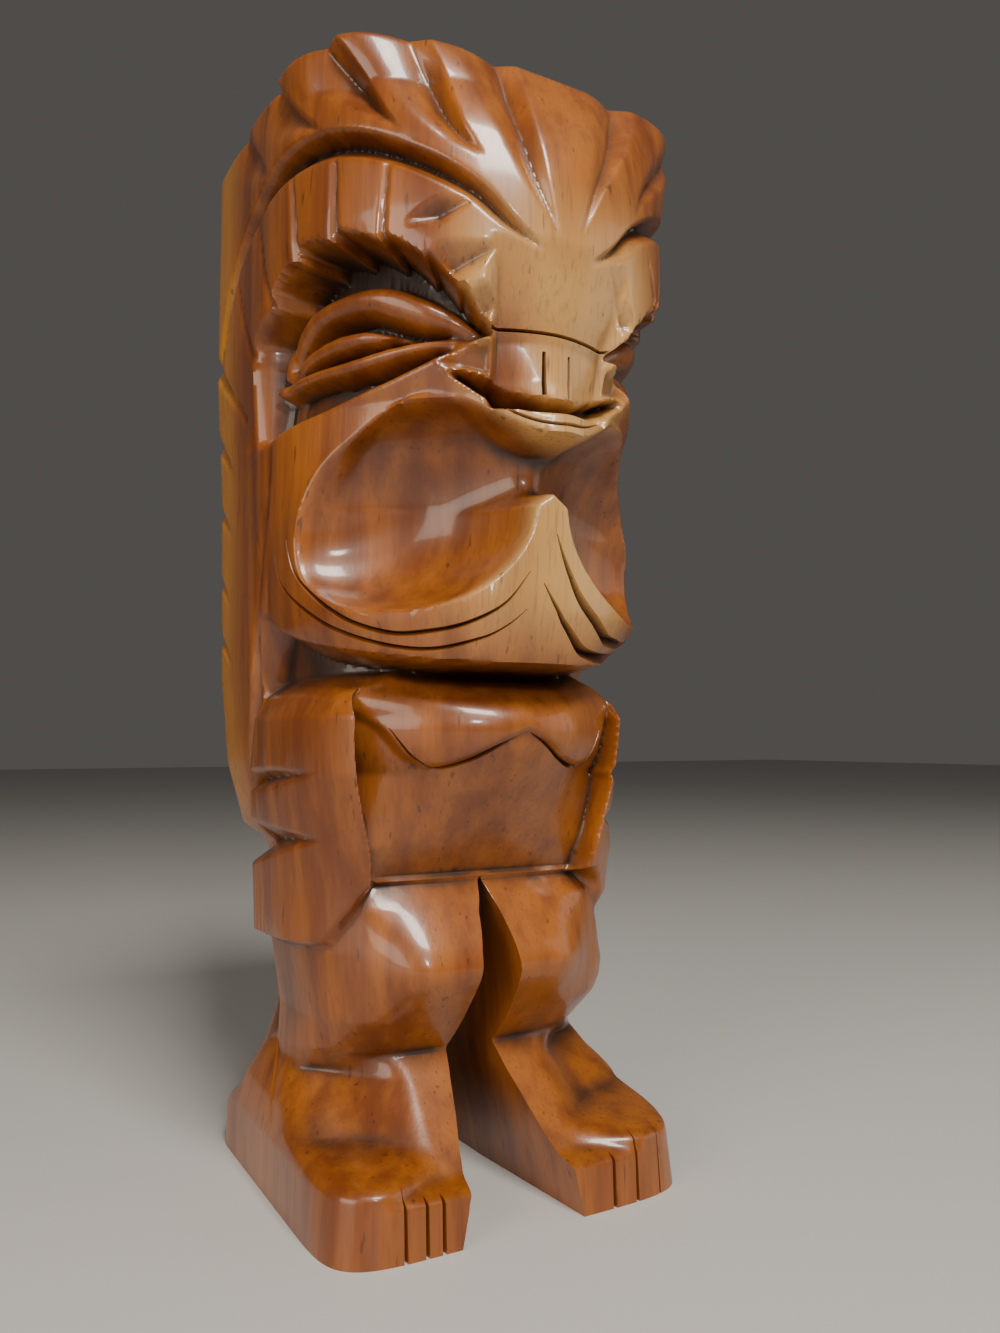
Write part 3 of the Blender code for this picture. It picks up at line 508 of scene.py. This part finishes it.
# Knife lines: a thin vee drawn along the finished surface. Points are (u, z), u < 0 on the viewer's left.
knifeLines = {
    "toothLeft": (((-3.0, 150.2), (-3.0, 142.6)), (0.35, 0.5), (0.9, 1.3)),
    "toothRight": (((3.2, 150.2), (3.2, 142.6)), (0.35, 0.5), (0.9, 1.3)),
    "lipLine": (((-14, 141.3), (-10, 138.6), (-4, 136.8), (4, 137.0), (11, 139.4)), (0.1, 0.35, 0.35, 0.1),
                (0.2, 0.7, 0.7, 0.2)),
    "rimLeft": (((-4.5, 112.4), (-9.0, 107.0), (-15.5, 103.6), (-23, 102.1), (-31, 102.1), (-41, 105.6),
                 (-52, 112.8),
                 (-57.5, 120)), (0.1, 0.45, 0.5, 0.5, 0.45, 0.1), (0.2, 0.9, 1.0, 1.0, 0.9, 0.2)),
    "jowlLeft": (((-5.0, 106.0), (-8.2, 103.4), (-13.4, 101.0), (-23, 99.2), (-33, 100.4), (-44, 104.2),
                  (-57, 111.4),
                  (-62.5, 118)), (0.1, 0.4, 0.45, 0.45, 0.4, 0.1), (0.2, 0.8, 0.9, 0.9, 0.8, 0.2)),
    "rimRight": (((0.8, 119.2), (3.5, 113.5), (8, 107.4), (16.8, 102.6), (24, 101.8), (33, 102.4),
                  (43, 106.4),
                  (53, 113.6), (59, 123)), (0.1, 1.0, 1.1, 0.5, 0.5, 0.1), (0.3, 2.2, 2.2, 1.0, 1.0, 0.2)),
    "jowlRight": (((-1.6, 110.6), (1.2, 106.8), (4.4, 103.4), (11.6, 99.6), (23, 98.9), (33, 100.2),
                   (44, 104),
                   (58, 112), (64, 121)), (0.1, 1.0, 1.1, 0.5, 0.45, 0.1), (0.3, 2.2, 2.2, 0.9, 0.9, 0.2)),
    "chestLeft": (((-24, 86.0), (-20, 81.1), (-15.6, 79.1), (-10.2, 80.5), (-5, 83.3), (-0.8, 85.4)),
                  (0.1, 0.4, 0.45, 0.4, 0.1), (0.2, 0.9, 1.0, 0.9, 0.2)),
    "chestRight": (((0.8, 85.4), (5, 83.3), (10.2, 80.5), (15.6, 79.1), (20, 81.1), (24, 86.0)),
                   (0.1, 0.4, 0.45, 0.4, 0.1), (0.2, 0.9, 1.0, 0.9, 0.2)),
    "fingerLeft1": (((-56.5, 57.0), (-56.2, 47.6)), (0.3, 0.35), (0.6, 0.8)),
    "fingerLeft2": (((-59.2, 57.0), (-58.9, 47.4)), (0.3, 0.35), (0.6, 0.8)),
    "fingerLeft3": (((-61.9, 57.0), (-61.6, 47.2)), (0.3, 0.35), (0.6, 0.8)),
    "fingerRight1": (((56.5, 57.0), (56.2, 47.6)), (0.3, 0.35), (0.6, 0.8)),
    "fingerRight2": (((59.2, 57.0), (58.9, 47.4)), (0.3, 0.35), (0.6, 0.8)),
    "fingerRight3": (((61.9, 57.0), (61.6, 47.2)), (0.3, 0.35), (0.6, 0.8)),
}


def pointAndNormal(u, z):
    sign = np.where(u < 0, -1.0, 1.0)
    at = surface(np.abs(u), sign, z)
    du = surface(np.abs(u + 0.3), np.where(u + 0.3 < 0, -1.0, 1.0), z) - surface(
        np.abs(u - 0.3), np.where(u - 0.3 < 0, -1.0, 1.0), z)
    dz = surface(np.abs(u), sign, z + 0.3) - surface(np.abs(u), sign, z - 0.3)
    out = np.cross(du, dz)
    return at, out / np.linalg.norm(out, axis=1)[:, None]


def knifeCutter(name, points, halfWidth, depth):
    line = curveThrough(points, 9)
    at, out = pointAndNormal(line[:, 0], line[:, 1])
    for _ in range(3):
        out[1:-1] = out[:-2] + 2 * out[1:-1] + out[2:]
        out /= np.linalg.norm(out, axis=1)[:, None]
    share = np.concatenate([[0.0], np.cumsum(np.linalg.norm(np.diff(at, axis=0), axis=1))])
    share /= share[-1]
    w = np.interp(share, np.linspace(0, 1, len(halfWidth)), halfWidth)[:, None]
    d = np.interp(share, np.linspace(0, 1, len(depth)), depth)[:, None]
    ahead = np.gradient(at, axis=0)
    across = np.cross(ahead, out)
    across /= np.linalg.norm(across, axis=1)[:, None]
    lift = 0.5
    wide = w * (1 + lift / d)
    rings = np.stack([at + across * wide + out * lift, at - out * d, at - across * wide + out * lift],
                     axis=1) * mm
    return loft(name, rings.tolist())


noseSaw = {"reach": 14.2, "z": 153.2, "width": 1.0, "depth": 3.0}


def noseSawCutter():  # one straight saw cut under the nose plate
    u = np.linspace(-noseSaw["reach"], noseSaw["reach"], 15)
    at = pointAndNormal(u, np.full_like(u, 154.4))[0]
    nx, ny = inward(np.abs(u))
    into = np.stack([np.where(u < 0, -1, 1) * nx, ny, 0 * u], axis=1)
    up = np.array([0, 0, noseSaw["width"] / 2])
    at[:, 2] = noseSaw["z"]
    front, back = at - into * 3.0, at + into * noseSaw["depth"]
    return loft("noseSaw", (np.stack([front + up, back + up * 0.3, back - up * 0.3, front - up],
                                     axis=1) * mm).tolist())


def subtract(obj, cutters):
    for cutter in cutters:
        modifier = obj.modifiers.new(cutter.name, "BOOLEAN")
        modifier.operation = "DIFFERENCE"
        modifier.solver = "EXACT"
        modifier.object = cutter
    applyModifiers(obj)
    for cutter in cutters:
        bpy.data.objects.remove(cutter)


def thinOut(obj, triangles):
    count = sum(len(p.vertices) - 2 for p in obj.data.polygons)
    modifier = obj.modifiers.new("fewerFaces", "DECIMATE")
    modifier.ratio = triangles / count
    modifier.use_collapse_triangulate = True
    applyModifiers(obj)


def centreOnOrigin(mesh):
    points = np.empty(len(mesh.vertices) * 3)
    mesh.vertices.foreach_get("co", points)
    points = points.reshape(-1, 3)
    points[:, 1] -= (points[:, 1].min() + points[:, 1].max()) / 2
    mesh.vertices.foreach_set("co", points.ravel())
    mesh.update()


# smoothing rounds, and the sinking in metres that counts as fully hollow after each
hollows = {"rounds": (2, 10, 40, 130), "full": (0.00035, 0.0008, 0.0016, 0.0030)}


def markHollows(mesh):  # how far each point lies below its surroundings, for the dark stain and painted shade in cuts
    count = len(mesh.vertices)
    points = np.empty(count * 3)
    mesh.vertices.foreach_get("co", points)
    points = points.reshape(-1, 3)
    normals = np.empty(count * 3)
    mesh.vertices.foreach_get("normal", normals)
    normals = normals.reshape(-1, 3)
    ends = np.empty(len(mesh.edges) * 2, dtype=np.int64)
    mesh.edges.foreach_get("vertices", ends)
    a, b = ends.reshape(-1, 2).T
    degree = np.bincount(np.concatenate([a, b]), minlength=count)[:, None]
    smooth, done, sunk = points.copy(), 0, np.zeros(count)
    for rounding, full in zip(hollows["rounds"], hollows["full"]):
        while done < rounding:
            total = np.zeros_like(smooth)
            for axis in range(3):
                total[:, axis] = np.bincount(a, smooth[b, axis], count) + np.bincount(b, smooth[a, axis],
                                                                                      count)
            smooth = 0.5 * smooth + 0.5 * total / degree
            done += 1
        wide = np.einsum("ij,ij->i", smooth - points, normals) / full
        if rounding < hollows["rounds"][-1]:
            sunk = np.maximum(sunk, wide)
    # The first layer holds the stain and painted shade in cuts; the second, from the widest round, holds the
    # painted shade in wide hollows.
    for name, values in (("hollowStainAndShade", sunk), ("wideHollowShade", wide)):
        layer = mesh.attributes.new(name, "FLOAT", "POINT")
        layer.data.foreach_set("value", np.clip(values, 0.0, 1.0).astype(np.float32))


statue = newObject("carvedFigure", carvedBlock())
print("block carved:", len(statue.data.polygons), "faces")
thinOut(statue, grid["triangles"])
subtract(statue, [cutLegGap()] + cutToes())
print("legs parted, toes cut")
subtract(statue, [noseSawCutter()] + [knifeCutter(name, *line) for name, line in knifeLines.items()])
print("knife lines cut:", len(statue.data.polygons), "faces")
centreOnOrigin(statue.data)
markHollows(statue.data)
statue.data.polygons.foreach_set("use_smooth", [True] * len(statue.data.polygons))
statue.data.set_sharp_from_angle(angle=math.radians(42))


# Shader maths: a socket wrapped so that expressions build their own nodes

class Line:
    def __init__(self, sheet, socket):
        self.sheet, self.socket = sheet, socket

    def math(self, operation, *others):
        return self.sheet.node("ShaderNodeMath", {"operation": operation}, [self, *others])

    def __add__(self, other): return self.math("ADD", other)
    def __radd__(self, other): return self.math("ADD", other)
    def __sub__(self, other): return self.math("SUBTRACT", other)
    def __rsub__(self, other): return self.sheet.node("ShaderNodeMath", {"operation": "SUBTRACT"}, [other,
                                                                                                    self])
    def __mul__(self, other): return self.math("MULTIPLY", other)
    def __rmul__(self, other): return self.math("MULTIPLY", other)
    def clamp(self): return self.sheet.node("ShaderNodeClamp", {}, [self])

    def ramp(self, low, high):  # 0 at low, 1 at high, smooth between
        return self.sheet.node("ShaderNodeMapRange", {"interpolation_type": "SMOOTHSTEP"}, {
            "Value": self, "From Min": low, "From Max": high})


class Sheet:
    def __init__(self, material):
        self.tree = material.node_tree

    def node(self, kind, settings, values, output=0):
        made = self.tree.nodes.new(kind)
        for key, value in settings.items():
            setattr(made, key, value)
        for key, value in (values.items() if isinstance(values, dict) else enumerate(values)):
            if isinstance(value, Line):
                self.tree.links.new(value.socket, made.inputs[key])
            else:
                made.inputs[key].default_value = value
        return Line(self, made.outputs[output])

    def mix(self, share, first, second):
        return self.node("ShaderNodeMix", {"data_type": "RGBA"}, {0: share, 6: first, 7: second}, 2)


wood = {
    "heart": (0.285, 0.084, 0.008, 1), "deepHeart": (0.135, 0.030, 0.003, 1), "sapAndSheen": (0.500, 0.285, 0.092, 1),
    "gold": (0.430, 0.180, 0.018, 1), "stainAndShade": (0.012, 0.0035, 0.001, 1), "streak": (0.085, 0.020, 0.003, 1),
    "roughness": 0.36, "coat": 0.45, "coatRoughness": 0.10, "coatIor": 1.5,
}


def carvedWood():
    material = bpy.data.materials.new("varnishedWood")
    material.use_nodes = True
    sheet = Sheet(material)
    shader = material.node_tree.nodes["Principled BSDF"]
    place = sheet.node("ShaderNodeTexCoord", {}, {}, "Object")
    axes = sheet.node("ShaderNodeSeparateXYZ", {}, [place])
    x = Line(sheet, axes.socket.node.outputs["X"])
    y = Line(sheet, axes.socket.node.outputs["Y"])
    z = Line(sheet, axes.socket.node.outputs["Z"])

    def noise(stretch, detail, roughness, offset=(0, 0, 0)):
        moved = sheet.node("ShaderNodeMapping", {}, {"Vector": place, "Location": offset, "Scale": stretch})
        return sheet.node("ShaderNodeTexNoise", {}, {"Vector": moved, "Scale": 1.0, "Detail": detail,
                                                     "Roughness": roughness})

    figure = noise((38, 38, 7), 3, 0.5)  # broad figure in the wood
    bands = noise((210, 210, 16), 3, 0.55, (3, 1, 0))  # growth bands seen along the grain
    fine = noise((1500, 1500, 45), 2, 0.6, (0, 5, 2))  # fine streaks
    fleck = noise((900, 900, 120), 1, 0.4, (7, 0, 1))  # pores
    hollowStainAndShade = sheet.node("ShaderNodeAttribute", {"attribute_name": "hollowStainAndShade"}, {}, "Fac")
    wideHollowShade = sheet.node("ShaderNodeAttribute", {"attribute_name": "wideHollowShade"}, {}, "Fac")

    wander = (figure - 0.5) * 0.022
    # Paler tan on the front faces from the jaw up, fading out where the crown leans back: partly sapwood,
    # partly painted sheen from the front lights.
    sapAndSheen = (wander - y - z * 0.085 + x * 0.06).ramp(0.0195, 0.0285) * z.ramp(0.092, 0.112)
    sapAndSheen = sapAndSheen * (1.0 - (z + wander).ramp(0.158, 0.186) * 0.9)
    # A paler patch on the front of the near foot's toes: partly sapwood, partly painted sheen.
    toeSapAndSheen = (wander - y).ramp(0.030, 0.040) * (1.0 - z.ramp(0.010, 0.018)) * (wander - x).ramp(0.002, 0.012)
    gold = (y + wander * 0.6 - x * 0.10).ramp(0.022, 0.032) * z.ramp(0.055, 0.075)
    tone = (bands * 0.65 + figure * 0.5).ramp(0.38, 0.75)
    colour = sheet.mix(tone, wood["deepHeart"], wood["heart"])
    colour = sheet.mix(gold * 0.75, colour, wood["gold"])
    # Mixes in the pale sapwood and the painted sheen on the front faces and toes.
    colour = sheet.mix(sapAndSheen * 0.85 + toeSapAndSheen * 0.4, colour, wood["sapAndSheen"])
    colour = sheet.mix(fine.ramp(0.50, 0.72) * 0.28, colour, wood["streak"])
    colour = sheet.mix(fleck.ramp(0.70, 0.76) * 0.5, colour, wood["stainAndShade"])
    # Painted shade in the wide hollows above the mouth, such as under the brow and in the crescent.
    colour = sheet.mix(wideHollowShade * z.ramp(0.138, 0.148) * 0.7, colour, wood["stainAndShade"])
    # Cuts darkened by how deep they sink: partly stain gathered in them, partly painted shade.
    colour = sheet.mix((hollowStainAndShade * 1.15).clamp() * 0.9, colour, wood["stainAndShade"])

    height = bands * 0.35 + fine * 0.2 + noise((120, 120, 70), 2, 0.5, (1, 2, 3)) * 1.0
    bump = sheet.node("ShaderNodeBump", {}, {"Strength": 0.35, "Distance": 0.0003, "Height": height})
    sheet.tree.links.new(colour.socket, shader.inputs["Base Color"])
    rough = fine * 0.10 + hollowStainAndShade * 0.18 + (wood["roughness"] - 0.05)
    sheet.tree.links.new(rough.socket, shader.inputs["Roughness"])
    sheet.tree.links.new(bump.socket, shader.inputs["Normal"])
    shader.inputs["Coat Weight"].default_value = wood["coat"]
    shader.inputs["Coat Roughness"].default_value = wood["coatRoughness"]
    shader.inputs["Coat IOR"].default_value = wood["coatIor"]
    return material


statue.data.materials.clear()
statue.data.materials.append(carvedWood())
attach(statue, "root")
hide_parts("tiki_statue")
print("wood finished")


studio = {
    "floor": (0.50, 0.49, 0.475, 1), "sky": (0.66, 0.62, 0.58, 1), "skyStrength": 0.13,
    "camera": (-0.0936, -0.1842, 0.0841), "heading": (0.492, 0.870), "pitch": 0.0706, "focalPixels": 1030.0,
    "imageHeight": 1333.0,
}
lamps = {  # place, height of the point aimed at, size, watts, colour
    "key": ((-0.05, -0.50, 0.70), 0.11, 0.26, 8.0, (1.0, 0.94, 0.86)),
    "spark": ((-0.16, -0.64, 0.33), 0.11, 0.07, 1.2, (1.0, 0.96, 0.91)),
    "left": ((-0.75, -0.35, 0.30), 0.1, 0.5, 4.0, (1.0, 0.90, 0.78)),
    "right": ((0.9, -0.5, 0.35), 0.1, 0.7, 1.6, (1.0, 0.94, 0.86)),
}


def makeFloor():
    mesh = bpy.data.meshes.new("floor")
    mesh.from_pydata([(-3, -3, 0), (3, -3, 0), (3, 3, 0), (-3, 3, 0)], [], [(0, 1, 2, 3)])
    floor = newObject("floor", mesh)
    material = bpy.data.materials.new("paleFloor")
    material.use_nodes = True
    sheet = Sheet(material)
    shader = material.node_tree.nodes["Principled BSDF"]
    place = sheet.node("ShaderNodeTexCoord", {}, {}, "Object")
    grains = sheet.node("ShaderNodeTexNoise", {}, {"Vector": place, "Scale": 900.0, "Detail": 2.0})
    shader.inputs["Base Color"].default_value = studio["floor"]
    sheet.tree.links.new((grains * 0.08 + 0.42).socket, shader.inputs["Roughness"])
    floor.data.materials.append(material)


def areaLight(name, place, aim, size, watts, colour):
    light = bpy.data.lights.new(name, "AREA")
    light.size, light.energy, light.color = size, watts, colour
    obj = bpy.data.objects.new(name, light)
    bpy.context.scene.collection.objects.link(obj)
    obj.location = place
    obj.rotation_euler = (Vector((0, 0, aim)) - Vector(place)).to_track_quat("-Z", "Y").to_euler()


def makeCamera():
    data = bpy.data.cameras.new("camera")
    data.sensor_fit = "AUTO"
    data.sensor_width = 36.0
    data.lens = studio["focalPixels"] * 36.0 / studio["imageHeight"]
    data.clip_start = 0.005
    camera = bpy.data.objects.new("camera", data)
    bpy.context.scene.collection.objects.link(camera)
    ahead = Vector((*studio["heading"], 0)).normalized()
    ahead = (ahead * math.cos(studio["pitch"]) + Vector((0, 0, 1)) * math.sin(studio["pitch"])).normalized()
    right = ahead.cross(Vector((0, 0, 1))).normalized()
    camera.matrix_world = Matrix.Translation(studio["camera"]) @ Matrix(
        (right, right.cross(ahead), -ahead)).transposed().to_4x4()
    bpy.context.scene.camera = camera


makeFloor()
makeCamera()
for name, lamp in lamps.items():
    areaLight(name, *lamp)
world = bpy.data.worlds.new("studio")
world.use_nodes = True
background = world.node_tree.nodes["Background"]
background.inputs[0].default_value = studio["sky"]
background.inputs[1].default_value = studio["skyStrength"]
bpy.context.scene.world = world
print("studio lit")
